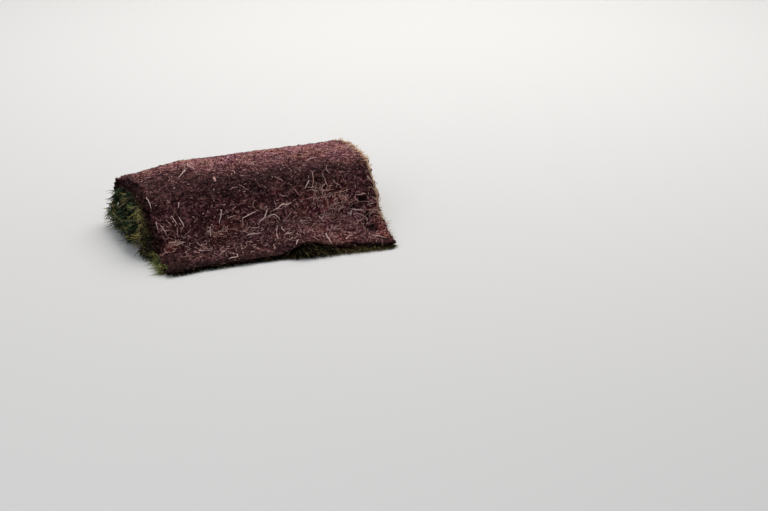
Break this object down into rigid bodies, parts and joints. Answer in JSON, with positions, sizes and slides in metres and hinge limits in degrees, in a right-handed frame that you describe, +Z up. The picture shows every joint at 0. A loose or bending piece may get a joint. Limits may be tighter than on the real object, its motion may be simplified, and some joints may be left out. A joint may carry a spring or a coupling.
{
  "type": "turf roll",
  "caption": "Short roll of lawn turf lying on its side: brown root-bound soil outside, grass between its flattened turns, free end spread forward over the ground at the front.",
  "frame": {"origin": "middle of the bounding box in X and Y, on the ground under the roll", "axes": "+X along the roll's axis, which is the width of the strip, +Y from the free end at the front towards the back, +Z up"},
  "size_m": [0.437, 0.33, 0.1035],
  "materials": {
    "soil_mat": "matt, moist peaty soil matted with fine roots",
    "grass_sward": "matt, mown grass with pale thatch at its foot"
  },
  "bodies": {
    "root": {"soil_mat": "soil_mat", "grass_sward": "grass_sward"}
  },
  "joints": []
}
